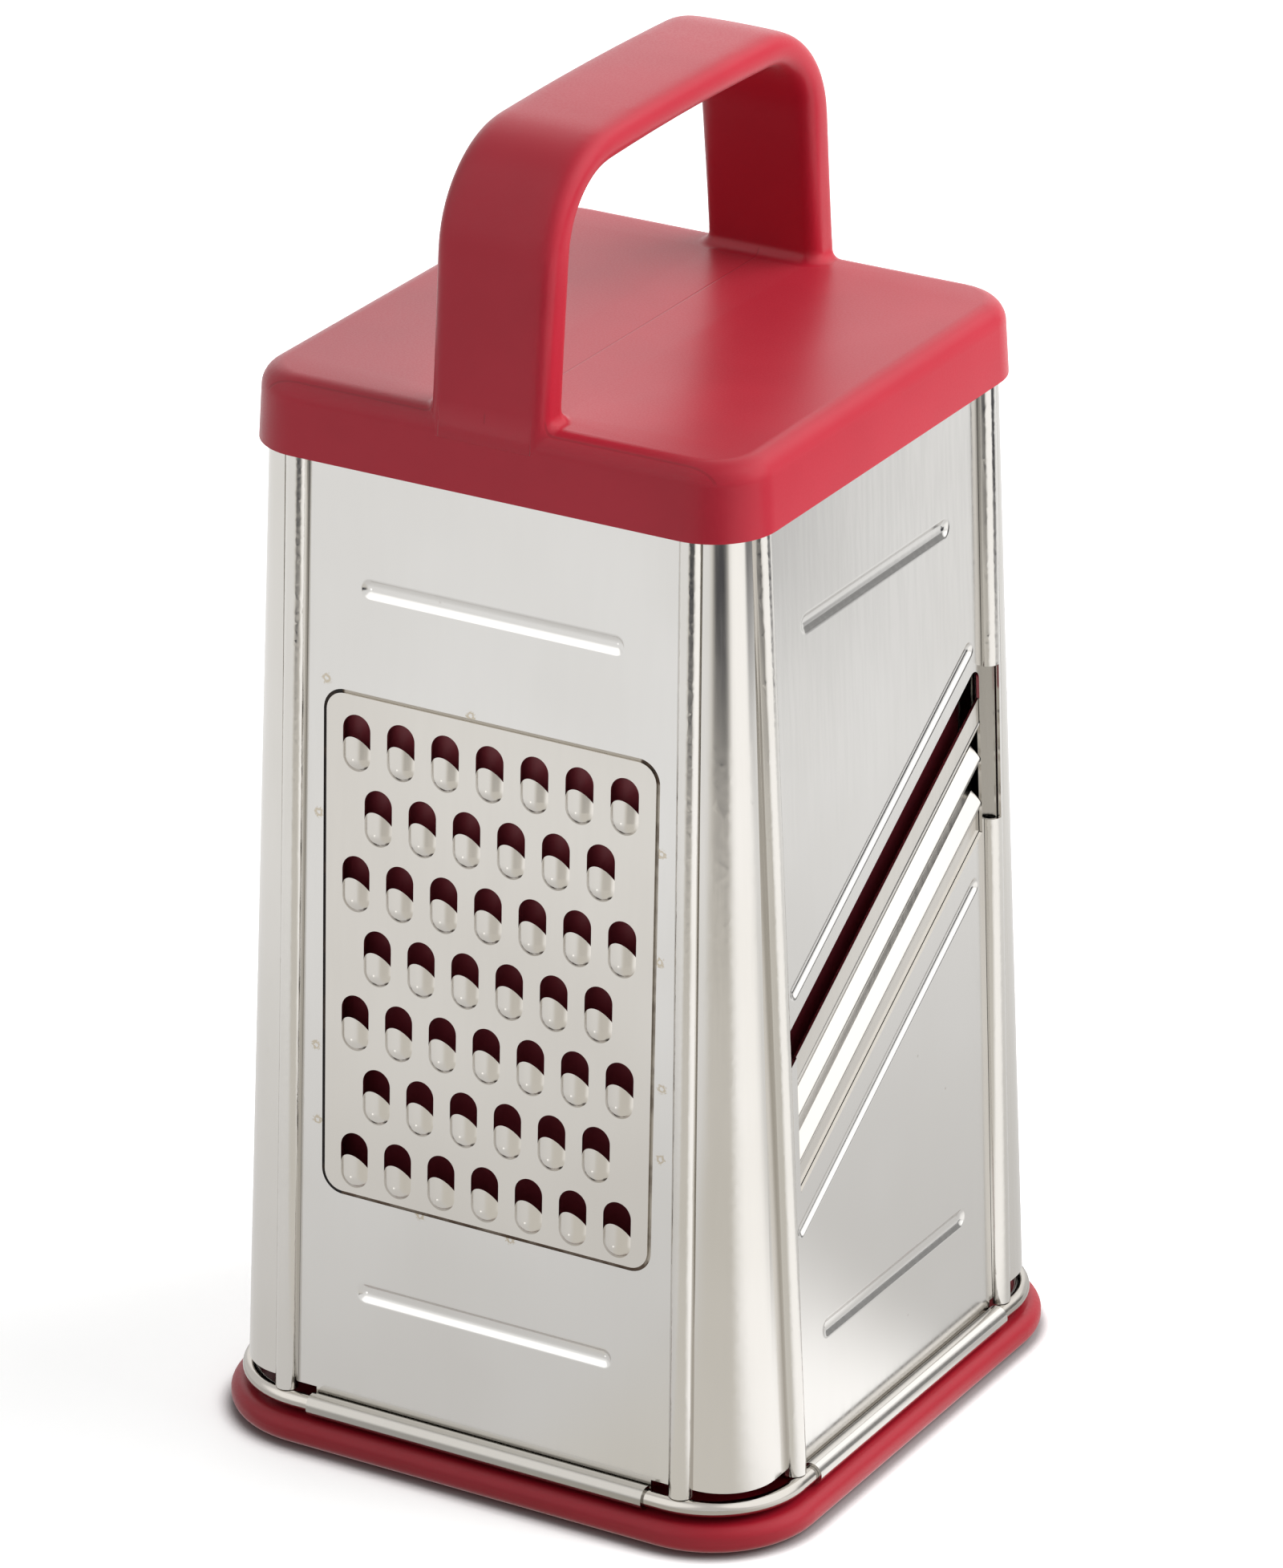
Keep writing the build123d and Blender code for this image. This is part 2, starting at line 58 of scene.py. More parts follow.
def photo_camera():
    """A camera at the photograph's viewing angle."""
    back = Vector((sin(CAMERA_AZIMUTH) * cos(CAMERA_ELEVATION),
                   -cos(CAMERA_AZIMUTH) * cos(CAMERA_ELEVATION), sin(CAMERA_ELEVATION)))
    right = Vector((cos(CAMERA_AZIMUTH), sin(CAMERA_AZIMUTH), 0))
    up = back.cross(right)
    aim = right * AIM_RIGHT + Vector((0, 0, AIM_HEIGHT))
    across = right * cos(CAMERA_ROLL) + up * sin(CAMERA_ROLL)
    above = up * cos(CAMERA_ROLL) - right * sin(CAMERA_ROLL)
    lens = bpy.data.cameras.new("photo_camera")
    lens.sensor_fit = "AUTO"
    lens.sensor_width = SENSOR_WIDTH
    lens.lens = FOCAL_PIXELS * SENSOR_WIDTH / max(PHOTO_WIDTH, PHOTO_HEIGHT)
    lens.clip_start, lens.clip_end = CLIP_NEAR, CLIP_FAR
    camera = bpy.data.objects.new("photo_camera", lens)
    scene.collection.objects.link(camera)
    camera.matrix_world = Matrix.Translation(aim + back * CAMERA_DISTANCE) @ Matrix(
        (across, above, back)).transposed().to_4x4()
    scene.camera = camera


# Shader nodes, placed and linked by plain words
MIX_FIRST, MIX_SECOND, MIX_RESULT = 6, 7, 2  # the mix node's sockets for colours


class Graph:
    """A node tree that adds nodes, sets their inputs and links other nodes' outputs to them."""

    def __init__(self, tree):
        self.tree = tree

    def add(self, kind, inputs=None, **settings):
        node = self.tree.nodes.new(kind)
        for key, value in settings.items():
            setattr(node, key, value)
        for key, value in (inputs or {}).items():
            self.put(node.inputs[key], value)
        return node

    def put(self, socket, value):
        if isinstance(value, bpy.types.NodeSocket):
            self.tree.links.new(value, socket)
        elif isinstance(value, bpy.types.Node):
            self.tree.links.new(value.outputs[0], socket)
        else:
            socket.default_value = value

    def math(self, operation, first, second=0.0, clamp=False):
        node = self.add("ShaderNodeMath", {0: first, 1: second}, operation=operation,
                        use_clamp=clamp)
        return node.outputs[0]

    def product(self, first, *others):
        for other in others:
            first = self.math("MULTIPLY", first, other)
        return first

    def ramp(self, value, low, high, to_low=0.0, to_high=1.0):
        """Value from low to high, mapped smoothly to two other numbers."""
        return self.add("ShaderNodeMapRange", {0: value, 1: low, 2: high, 3: to_low, 4: to_high},
                        interpolation_type="SMOOTHSTEP").outputs[0]

    def fade(self, value, low, high):
        """One up to low, falling smoothly to zero at high."""
        return self.ramp(value, low, high, 1.0, 0.0)

    def mix(self, factor, first, second):
        """A colour between two others, the first where the factor is zero."""
        node = self.add("ShaderNodeMix", {0: factor}, data_type="RGBA")
        self.put(node.inputs[MIX_FIRST], first)
        self.put(node.inputs[MIX_SECOND], second)
        return node.outputs[MIX_RESULT]

    def noise(self, place, scale, detail=2.0, roughness=0.5):
        """Soft noise with about this many cells to the metre."""
        return self.add("ShaderNodeTexNoise", {"Vector": place, "Scale": scale, "Detail": detail,
                                               "Roughness": roughness}).outputs[0]

    def place(self):
        """Where a point lies on its piece, in metres."""
        return self.add("ShaderNodeTexCoord").outputs["Object"]

    def axes(self):
        """That place as three separate numbers."""
        return self.add("ShaderNodeSeparateXYZ", {0: self.place()}).outputs

    def any_ray(self, *kinds):
        """One where the ray is of any of these kinds."""
        path = self.add("ShaderNodeLightPath")
        found = path.outputs[kinds[0]]
        for kind in kinds[1:]:
            found = self.math("MAXIMUM", found, path.outputs[kind])
        return found


def new_group(name, inputs, outputs):
    """An empty shader group with named sockets, and its graph, input node and output node."""
    tree = bpy.data.node_groups.new(name, "ShaderNodeTree")
    for label, kind, value in inputs:
        socket = tree.interface.new_socket(label, in_out="INPUT", socket_type=kind)
        if value is not None:
            socket.default_value = value
    for label, kind in outputs:
        tree.interface.new_socket(label, in_out="OUTPUT", socket_type=kind)
    graph = Graph(tree)
    return graph, graph.add("NodeGroupInput"), graph.add("NodeGroupOutput")


# Noise between these values is spread over its whole range
SOFT_CONTRAST, FIRM_CONTRAST = (0.3, 0.7), (0.35, 0.65)
PEBBLES, PEBBLE_DETAIL, PEBBLE_ROUGHNESS = 2600.0, 3.0, 0.6
CLOUDS = 45.0


def skin_group():
    """Moulded skin: the pebbles of a spark-eroded mould, and faint cloudiness in the colour."""
    graph, given, made = new_group("moulded_skin", [
        ("Position", "NodeSocketVector", None), ("Pebbles", "NodeSocketFloat", PEBBLES),
        ("Clouds", "NodeSocketFloat", CLOUDS)], [
        ("Height", "NodeSocketFloat"), ("Cloud", "NodeSocketFloat"),
        ("Speckle", "NodeSocketFloat")])
    position = given.outputs["Position"]
    pebbles = graph.noise(position, given.outputs["Pebbles"], PEBBLE_DETAIL, PEBBLE_ROUGHNESS)
    clouds = graph.noise(position, given.outputs["Clouds"])
    graph.put(made.inputs["Height"], pebbles)
    graph.put(made.inputs["Cloud"], graph.ramp(clouds, *SOFT_CONTRAST))
    graph.put(made.inputs["Speckle"], graph.ramp(pebbles, *FIRM_CONTRAST))
    return graph.tree


GRAIN, GRAIN_DETAIL, GRAIN_ROUGHNESS = 900.0, 4.0, 0.65
GRAIN_DRAW = (1.0, 1.0, 0.05)  # drawn out upright
BANDS, BAND_ROUGHNESS = 24.0, 0.45
SPECK_CELLS, SPECK_EDGE = 120.0, (0.02, 0.05)
SPECK_FIELDS, SPECK_FIELD_EDGE = 33.0, (0.60, 0.66)


def rolled_group():
    """Rolled sheet: fine grain along the rolling direction, soft tone bands, a few pin specks."""
    graph, given, made = new_group("rolled_sheet", [
        ("Position", "NodeSocketVector", None), ("Grain", "NodeSocketFloat", GRAIN),
        ("Bands", "NodeSocketFloat", BANDS)], [
        ("Height", "NodeSocketFloat"), ("Band", "NodeSocketFloat"), ("Grain", "NodeSocketFloat"),
        ("Speck", "NodeSocketFloat")])
    position = given.outputs["Position"]
    drawn = graph.add("ShaderNodeMapping", {"Vector": position, "Scale": GRAIN_DRAW})
    grain = graph.noise(drawn, given.outputs["Grain"], GRAIN_DETAIL, GRAIN_ROUGHNESS)
    bands = graph.noise(position, given.outputs["Bands"], roughness=BAND_ROUGHNESS)
    specks = graph.add("ShaderNodeTexVoronoi", {"Vector": position, "Scale": SPECK_CELLS})
    fields = graph.noise(position, SPECK_FIELDS)
    graph.put(made.inputs["Height"], grain)
    graph.put(made.inputs["Band"], graph.ramp(bands, *SOFT_CONTRAST))
    graph.put(made.inputs["Grain"], graph.ramp(grain, *SOFT_CONTRAST))
    graph.put(made.inputs["Speck"], graph.product(
        graph.fade(specks.outputs["Distance"], *SPECK_EDGE),
        graph.ramp(fields, *SPECK_FIELD_EDGE)))
    return graph.tree


# A weld's ring: its edges as shares of the radius, and how far noise pushes them in and out
WELD_RADIUS, WELD_STRENGTH = 0.75 * MM, 0.75
WELD_INNER_EDGE, WELD_OUTER_EDGE = (0.35, 0.7), (0.9, 1.5)
WELD_NOISE, WELD_UNEVEN = 2500.0, (0.75, 1.35)


def weld_group():
    """A spot weld seen from outside: a straw-coloured ring with an uneven edge."""
    graph, given, made = new_group("spot_weld", [
        ("Position", "NodeSocketVector", None), ("Centre", "NodeSocketVector", None),
        ("Radius", "NodeSocketFloat", WELD_RADIUS)], [("Tint", "NodeSocketFloat")])
    position = given.outputs["Position"]
    reach = graph.add("ShaderNodeVectorMath", {0: position, 1: given.outputs["Centre"]},
                      operation="DISTANCE").outputs["Value"]
    uneven = graph.ramp(graph.noise(position, WELD_NOISE), *SOFT_CONTRAST, *WELD_UNEVEN)
    share = graph.math("DIVIDE", graph.product(reach, uneven), given.outputs["Radius"])
    graph.put(made.inputs["Tint"], graph.product(
        graph.ramp(share, *WELD_INNER_EDGE), graph.fade(share, *WELD_OUTER_EDGE), WELD_STRENGTH))
    return graph.tree


SKIN = skin_group()
ROLLED = rolled_group()
WELD = weld_group()


def new_material(name):
    """A material, its graph and its surface shader."""
    material = bpy.data.materials.new(name)
    material.use_nodes = True
    return material, Graph(material.node_tree), material.node_tree.nodes["Principled BSDF"]


def place_group(graph, tree, **values):
    """A shader group laid over a piece, with values for its other inputs."""
    position = graph.place()
    node = graph.add("ShaderNodeGroup", node_tree=tree)
    graph.put(node.inputs["Position"], position)
    for key, value in values.items():
        graph.put(node.inputs[key], value)
    return node


# The container's upright walls are duller than its flange, painted darker as shade inside the
# grater, from the lower height to the upper
BIN_SHADE_RED = (0.225, 0.028, 0.040)
BIN_SHADE_LOW, BIN_SHADE_HIGH = 9 * MM, 22 * MM

# The cap's split lines: their half width and soft edge, and where the cap's flat top lies and
# the line along its front and back edges runs
SPLIT_HALF, SPLIT_SOFT = 0.10 * MM, 0.24 * MM
SPLIT_RED, SPLIT_TINT, SPLIT_DEPTH = (0.20, 0.006, 0.012, 1), 0.35, 3.0
CAP_TOP = 212.3 * MM
CAP_SPLIT_HEIGHT, CAP_SPLIT_REACH = 209.5 * MM, 52.2 * MM
CAP_SPLIT_END, CAP_SPLIT_FADE = 46 * MM, 4 * MM


def split_lines(graph):
    """One on the mould's fine split lines: the cap's middle, and its front and back edges."""
    place = graph.axes()
    across, along = graph.math("ABSOLUTE", place["X"]), graph.math("ABSOLUTE", place["Y"])
    height = place["Z"]
    below_handle = graph.fade(height, CAP_TOP + MM, CAP_TOP + 2 * MM)
    middle = graph.product(graph.fade(across, SPLIT_HALF, SPLIT_SOFT), below_handle,
                           graph.ramp(height, CAP_TOP - MM / 2, CAP_TOP - MM / 5))
    from_edge = graph.math("ABSOLUTE", graph.math("SUBTRACT", along, CAP_SPLIT_REACH))
    edge = graph.product(graph.fade(from_edge, SPLIT_HALF, SPLIT_SOFT),
                         graph.fade(across, CAP_SPLIT_END, CAP_SPLIT_END + CAP_SPLIT_FADE),
                         graph.ramp(height, CAP_SPLIT_HEIGHT - MM, CAP_SPLIT_HEIGHT),
                         below_handle)
    return graph.math("MAXIMUM", middle, edge)


PLASTIC_IOR, SHEEN_ROUGHNESS = 1.38, 0.35
PEBBLE_BUMP, PEBBLE_DEPTH = 0.35, 0.02 * MM


def moulded_red(name, deep, light, smooth, rough, sheen, upper=None, split=False):
    """Red plastic with a satin, finely pebbled skin, duller higher up where upper is given, as
    painted shade.
    """
    material, graph, shader = new_material(name)
    skin = place_group(graph, SKIN)
    tone = graph.mix(skin.outputs["Cloud"], (*deep, 1), (*light, 1))
    height = skin.outputs["Height"]
    if split:
        line = split_lines(graph)
        tone = graph.mix(graph.product(line, SPLIT_TINT), tone, SPLIT_RED)
        height = graph.math("SUBTRACT", height, graph.product(line, SPLIT_DEPTH))
    if upper:
        # Painted shade: higher up, the tone turns to the darker upper red
        tone = graph.mix(graph.ramp(graph.axes()["Z"], BIN_SHADE_LOW, BIN_SHADE_HIGH), tone, (*upper, 1))
    graph.put(shader.inputs["Base Color"], tone)
    shader.inputs["Sheen Weight"].default_value = sheen
    shader.inputs["Sheen Roughness"].default_value = SHEEN_ROUGHNESS
    graph.put(shader.inputs["Roughness"],
              graph.ramp(skin.outputs["Speckle"], 0.0, 1.0, smooth, rough))
    shader.inputs["IOR"].default_value = PLASTIC_IOR
    bump = graph.add("ShaderNodeBump", {"Height": height, "Strength": PEBBLE_BUMP,
                                        "Distance": PEBBLE_DEPTH})
    graph.put(shader.inputs["Normal"], bump)
    return material


SPECK_TONE, WELD_TONE = (0.36, 0.31, 0.25, 1), (0.47, 0.40, 0.29, 1)
# A panel is duller below the first height, where its lower edge is rolled round the wire; on the
# front panel it is darker still, as painted shade
HEM_LOW, HEM_HIGH = 10.2 * MM, 10.7 * MM
HEM_FRONT_SHADE, HEM_SIDE = (0.375, 0.360, 0.332), (0.60, 0.58, 0.55)
GRAIN_BUMP, SHEET_GRAIN_DEPTH, WIRE_GRAIN_DEPTH = 0.2, 0.003 * MM, 0.002 * MM


def sheet_steel(name, dark, light, smooth, rough, depth=SHEET_GRAIN_DEPTH, welds=(), hem=None):
    """Bright rolled stainless sheet, straw-coloured at its welds and duller where it is rolled."""
    material, graph, shader = new_material(name)
    rolled = place_group(graph, ROLLED)
    tone = graph.mix(rolled.outputs["Band"], (*dark, 1), (*light, 1))
    tone = graph.mix(rolled.outputs["Speck"], tone, SPECK_TONE)
    for x, y, z in welds:
        weld = place_group(graph, WELD, Centre=(x * MM, y * MM, z * MM))
        tone = graph.mix(weld.outputs["Tint"], tone, WELD_TONE)
    if hem:
        tone = graph.mix(graph.ramp(graph.axes()["Z"], HEM_LOW, HEM_HIGH), (*hem, 1), tone)
    graph.put(shader.inputs["Base Color"], tone)
    shader.inputs["Metallic"].default_value = 1.0
    graph.put(shader.inputs["Roughness"],
              graph.ramp(rolled.outputs["Grain"], 0.0, 1.0, smooth, rough))
    bump = graph.add("ShaderNodeBump", {"Height": rolled.outputs["Height"],
                                        "Strength": GRAIN_BUMP, "Distance": depth})
    graph.put(shader.inputs["Normal"], bump)
    return material


# Places round the body in millimetres: the wire's middle line, and the panels that lean up from it
WIRE_HEIGHT, WIRE_REACH_FRONT, WIRE_REACH_SIDE = 8.0, 60.05, 58.45
BODY_HEIGHT, BODY_TAPER = 190.0, 7.5
LEAN = atan2(BODY_TAPER, BODY_HEIGHT)
HEM_INNER = 1.65  # inside radius of the edge that is rolled round the wire
REACH_FRONT = WIRE_REACH_FRONT - HEM_INNER * cos(LEAN)
REACH_SIDE = WIRE_REACH_SIDE - HEM_INNER * cos(LEAN)
# Spot welds round a grating window: place across the panel, and height above the table
WINDOW_WELDS = ((-35.0, 154.8), (-4.2, 153.9), (-36.6, 128.1), (-37.0, 81.3), (-36.6, 66.2),
                (-14.0, 52.1), (5.6, 52.1), (36.1, 135.9), (36.2, 114.8), (37.2, 90.1),
                (37.2, 76.1))


def panel_reach(reach, height):
    """How far out a panel's face is at a height above the table, in millimetres."""
    return reach - BODY_TAPER * (height - WIRE_HEIGHT) / BODY_HEIGHT


front_spots = [(x, -panel_reach(REACH_FRONT, z), z) for x, z in WINDOW_WELDS]
back_spots = [(-x, -y, z) for x, y, z in front_spots]
left_spots = [(-panel_reach(REACH_SIDE, z), -y, z) for y, z in WINDOW_WELDS]

cap_red = moulded_red("cap_red", deep=(0.405, 0.0105, 0.027), light=(0.435, 0.013, 0.031),
                      smooth=0.30, rough=0.38, sheen=0.10, split=True)
# The container's red is darker than the cap's, painted shade from the wire above its flange
shaded_base_red = moulded_red("shaded_base_red", deep=(0.305, 0.007, 0.017), light=(0.33, 0.008, 0.020),
                       smooth=0.34, rough=0.44, sheen=0.02, upper=BIN_SHADE_RED)

PANEL_SHEET = {"dark": (0.655, 0.640, 0.615), "light": (0.685, 0.672, 0.650),
               "smooth": 0.13, "rough": 0.18}
# The front panel's rolled edge takes the darker hem tone, painted shade
front_steel = sheet_steel("front_panel_steel", **PANEL_SHEET, welds=front_spots, hem=HEM_FRONT_SHADE)
slicing_steel = sheet_steel("slicing_panel_steel", **PANEL_SHEET, hem=HEM_SIDE)
back_steel = sheet_steel("back_panel_steel", **PANEL_SHEET, welds=back_spots, hem=HEM_SIDE)
fine_steel = sheet_steel("fine_panel_steel", **PANEL_SHEET, welds=left_spots, hem=HEM_SIDE)
plate_steel = sheet_steel("plate_steel", dark=(0.628, 0.60, 0.558), light=(0.658, 0.632, 0.59),
                          smooth=0.16, rough=0.21)
post_steel = sheet_steel("post_steel", dark=(0.64, 0.62, 0.585), light=(0.67, 0.65, 0.62),
                         smooth=0.13, rough=0.18)
wire_steel = sheet_steel("wire_steel", dark=(0.42, 0.395, 0.36), light=(0.48, 0.455, 0.42),
                         smooth=0.12, rough=0.18, depth=WIRE_GRAIN_DEPTH)

FINISHES = {
    "handle_cap": cap_red, "catch_container": shaded_base_red, "wire_rim": wire_steel,
    "front_panel": front_steel, "back_panel": back_steel, "left_panel": fine_steel,
    "right_panel": slicing_steel, "slicer_plate": plate_steel,
    "coarse_grating_plate": plate_steel, "medium_grating_plate": plate_steel,
    "fine_grating_plate": plate_steel, "front_right_post": post_steel,
    "front_left_post": post_steel, "back_right_post": post_steel, "back_left_post": post_steel,
}
for name, finish in FINISHES.items():
    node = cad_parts[name]
    node.data.materials.clear()
    node.data.materials.append(finish)


# Modelling: shapes are drawn in millimetres on a side's own plane, and then stood on that side
def side_frame(turn, reach):
    """From across, up the slope and outwards on a side, in millimetres, to its place in metres."""
    out = Vector((0, -cos(LEAN), sin(LEAN)))
    up = Vector((0, sin(LEAN), cos(LEAN)))
    foot = Vector((0, -reach, WIRE_HEIGHT - HEM_INNER * sin(LEAN)))
    plane = Matrix.Translation(foot) @ Matrix((Vector((1, 0, 0)), up, out)).transposed().to_4x4()
    return Matrix.Scale(MM, 4) @ Matrix.Rotation(radians(turn), 4, "Z") @ plane


SIDE_FRAMES = {"front": side_frame(0, REACH_FRONT), "right": side_frame(90, REACH_SIDE),
               "back": side_frame(180, REACH_FRONT), "left": side_frame(270, REACH_SIDE)}


def new_plane(name, wide, tall):
    """A flat quad in edit mode, all of it selected."""
    bpy.ops.object.select_all(action="DESELECT")
    bpy.ops.mesh.primitive_plane_add(size=1)
    piece = bpy.context.object
    piece.name = piece.data.name = name
    piece.scale = (wide, tall, 1)
    bpy.ops.object.transform_apply(location=False, rotation=False, scale=True)
    bpy.ops.object.mode_set(mode="EDIT")
    bpy.ops.mesh.select_all(action="SELECT")
    return piece


def pick(piece, test):
    """Selects in edit mode just the points of a piece that pass a test on their place."""
    bpy.ops.mesh.select_mode(type="VERT")
    bpy.ops.mesh.select_all(action="DESELECT")
    mesh = bmesh.from_edit_mesh(piece.data)
    for point in mesh.verts:
        point.select = bool(test(point.co))
    mesh.select_flush(True)
    bmesh.update_edit_mesh(piece.data)


def stand(piece, place, material, body="grater"):
    """Stands a piece in its place, and gives it its material and the body that it rides on."""
    if piece.mode == "EDIT":
        bpy.ops.object.mode_set(mode="OBJECT")
    bpy.ops.object.select_all(action="DESELECT")
    piece.select_set(True)
    bpy.context.view_layer.objects.active = piece
    piece.matrix_world = place
    bpy.ops.object.transform_apply(location=True, rotation=True, scale=True)
    piece.data.materials.clear()
    piece.data.materials.append(material)
    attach(piece, body)


def give(piece, kind, **settings):
    """Adds a modifier to a piece and applies it."""
    if piece.mode == "EDIT":
        bpy.ops.object.mode_set(mode="OBJECT")
    bpy.context.view_layer.objects.active = piece
    modifier = piece.modifiers.new(kind.lower(), kind)
    for key, value in settings.items():
        setattr(modifier, key, value)
    bpy.ops.object.modifier_apply(modifier=modifier.name)


# The cap and its handle as one soft moulding: heights where the legs are cut, and where the
# strap's rounding and its crown begin and are full
MERGE_GAP, STRAP_GRAIN = 0.01 * MM, 0.6 * MM
CUT_LOW, CUT_HIGH = 215.0 * MM, 215.8 * MM
STRAP_FOOT, STRAP_FREE = 222 * MM, 250 * MM
CROWN_FOOT, CROWN_FREE = 240 * MM, 258 * MM
STRAP_HALF_WIDTH, CROWN_ACROSS, STRAP_SPREAD = 12 * MM, 0.3 * MM, 0.03
RUB_STRENGTH, RUB_TIMES = 0.5, 36
CAP_SMOOTH_ANGLE = radians(30)


def rise(value, low, high):
    """Smoothly from zero at low to one at high."""
    share = min(max((value - low) / (high - low), 0), 1)
    return share * share * (3 - 2 * share)


def cap_copy(name):
    """A merged copy of the cap's moulding, in edit mode."""
    bpy.ops.object.select_all(action="DESELECT")
    piece = bpy.data.objects.new(name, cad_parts["handle_cap"].data.copy())
    scene.collection.objects.link(piece)
    piece.select_set(True)
    bpy.context.view_layer.objects.active = piece
    bpy.ops.object.mode_set(mode="EDIT")
    bpy.ops.mesh.select_all(action="SELECT")
    bpy.ops.mesh.remove_doubles(threshold=MERGE_GAP)
    bpy.ops.mesh.select_all(action="SELECT")
    return piece


def soft_strap():
    """The handle above its feet: remeshed finely, rubbed round, and crowned across its top."""
    piece = cap_copy("soft_strap")
    give(piece, "REMESH", mode="VOXEL", voxel_size=STRAP_GRAIN, use_smooth_shade=True)
    bpy.ops.object.mode_set(mode="EDIT")
    bpy.ops.mesh.select_all(action="SELECT")
    bpy.ops.mesh.bisect(plane_co=(0, 0, CUT_HIGH), plane_no=(0, 0, 1), clear_inner=True)
    bpy.ops.object.mode_set(mode="OBJECT")
    strap = piece.vertex_groups.new(name="strap")
    for point in piece.data.vertices:
        strap.add([point.index], rise(point.co.z, STRAP_FOOT, STRAP_FREE), "REPLACE")
    give(piece, "SMOOTH", factor=RUB_STRENGTH, iterations=RUB_TIMES, vertex_group="strap")
    for point in piece.data.vertices:
        place = point.co
        place.x *= 1 + STRAP_SPREAD * rise(place.z, STRAP_FOOT, STRAP_FREE)
        crown = CROWN_ACROSS * (place.x / STRAP_HALF_WIDTH) ** 2
        place.z -= crown * rise(place.z, CROWN_FOOT, CROWN_FREE)
    piece.vertex_groups.clear()
    return piece


def cap_moulding():
    """The cap as it is up to the handle's feet, joined leg by leg to the softer strap."""
    strap = soft_strap()
    piece = cap_copy("cap_moulding")
    bpy.ops.mesh.bisect(plane_co=(0, 0, CUT_LOW), plane_no=(0, 0, 1), clear_outer=True)
    bpy.ops.object.mode_set(mode="OBJECT")
    bpy.ops.object.shade_smooth_by_angle(angle=CAP_SMOOTH_ANGLE)
    strap.select_set(True)
    bpy.ops.object.join()
    bpy.ops.object.mode_set(mode="EDIT")
    for leg in (-1, 1):
        bpy.ops.mesh.select_mode(type="EDGE")
        bpy.ops.mesh.select_all(action="DESELECT")
        mesh = bmesh.from_edit_mesh(piece.data)
        for edge in mesh.edges:
            edge.select_set(edge.is_boundary and edge.verts[0].co.y * leg > 0)
        bmesh.update_edit_mesh(piece.data)
        bpy.ops.mesh.bridge_edge_loops()
        bpy.ops.mesh.faces_shade_smooth()
    bpy.ops.mesh.select_all(action="SELECT")
    bpy.ops.mesh.normals_make_consistent(inside=False)
    bpy.ops.object.mode_set(mode="OBJECT")
    stand(piece, Matrix.Identity(4), cap_red)
    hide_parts("handle_cap")


# The slicer's blade on the right side's plane: the slot line's height and slope, the upright
# ends, and the section as drops below that line and heights outwards from the panel's face
SLICER_LINE, SLICER_SLOPE = 108.4, 31.5
BLADE_LEFT, BLADE_RIGHT, BLADE_SHEET = -34.05, 37.85, 0.5
BLADE_LAND = ((3.2, -0.22), (6.95, -0.20), (7.15, -0.18), (7.5, -0.02), (7.75, -0.05),
              (8.0, -0.35), (8.5, -1.3), (9.2, -1.95), (10.2, -2.2))
RIB_START = ((11.55, -2.05), (11.8, -1.85), (13.0, -0.55), (13.3, -0.28))
RIB_END = ((13.6, -0.14), (13.95, -0.12), (14.25, -0.28), (14.6, -0.75), (15.1, -1.5),
           (15.7, -2.05), (16.6, -2.25))
RIB_PITCH = 7.7
BLADE_FOOT = ((21.3, -0.14), (21.65, -0.12), (21.95, -0.25), (22.2, -0.55), (22.5, -0.68),
              (23.0, -0.70), (29.8, -0.70))
BLANK_LENGTH, BLANK_HEIGHT = 160, 2
BLADE_SMOOTH_ANGLE = radians(28)


def blade_section():
    """The land at the slot, the first rib, the second rib's start, and its end with the foot."""
    second_start = [(drop + RIB_PITCH, out) for drop, out in RIB_START]
    return [*BLADE_LAND, *RIB_START, *RIB_END, *second_start, *BLADE_FOOT]


def slicer_blade():
    """The ribbed blade: an edge drawn out down its section, then cut upright at both ends."""
    section = blade_section()
    piece = new_plane("slicer_blade", BLANK_LENGTH, BLANK_HEIGHT)
    pick(piece, lambda place: place.y < 0)
    bpy.ops.mesh.delete(type="VERT")
    bpy.ops.mesh.select_all(action="SELECT")
    drop, out = section[0]
    bpy.ops.transform.translate(value=(0, -drop - BLANK_HEIGHT / 2, out))
    for next_drop, next_out in section[1:]:
        bpy.ops.mesh.extrude_region_move(
            TRANSFORM_OT_translate={"value": (0, drop - next_drop, next_out - out)})
        drop, out = next_drop, next_out
    bpy.ops.object.mode_set(mode="OBJECT")
    piece.matrix_world = (Matrix.Translation((0, SLICER_LINE, 0))
                          @ Matrix.Rotation(radians(SLICER_SLOPE), 4, "Z"))
    bpy.ops.object.transform_apply(location=True, rotation=True, scale=True)
    bpy.ops.object.mode_set(mode="EDIT")
    for end, facing in ((BLADE_LEFT, -1), (BLADE_RIGHT, 1)):
        bpy.ops.mesh.select_all(action="SELECT")
        bpy.ops.mesh.bisect(plane_co=(end, 0, 0), plane_no=(facing, 0, 0), clear_outer=True)
    bpy.ops.mesh.select_all(action="SELECT")
    bpy.ops.mesh.normals_make_consistent(inside=False)
    bpy.ops.object.mode_set(mode="OBJECT")
    outward = sum(face.normal.z * face.area for face in piece.data.polygons)
    if outward < 0:
        bpy.ops.object.mode_set(mode="EDIT")
        bpy.ops.mesh.flip_normals()
    give(piece, "SOLIDIFY", thickness=BLADE_SHEET, offset=-1)
    bpy.ops.object.shade_smooth_by_angle(angle=BLADE_SMOOTH_ANGLE)
    stand(piece, SIDE_FRAMES["right"], plate_steel)
    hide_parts("slicer_plate")


# The seam round each grating window, where its plate stands up into the panel's opening, painted
# dark as shade
WINDOW_WIDE, WINDOW_LOW, WINDOW_HIGH = 71.2, 44.4, 145.6
WINDOW_CORNER, CORNER_STEPS = 4.5, 8
SEAM_WIDTH, SEAM_BACK, SEAM_FRONT = 0.68, -0.59, -0.30
# How deep the painted shade is along each part of the seam
SEAM_SHADE_LEFT, SEAM_SHADE_RIGHT, SEAM_SHADE_FOOT = 1.0, 0.34, 0.66
SEAM_SHADE_TOP, SEAM_SHADE_TOP_RIGHT = 0.12, 0.8


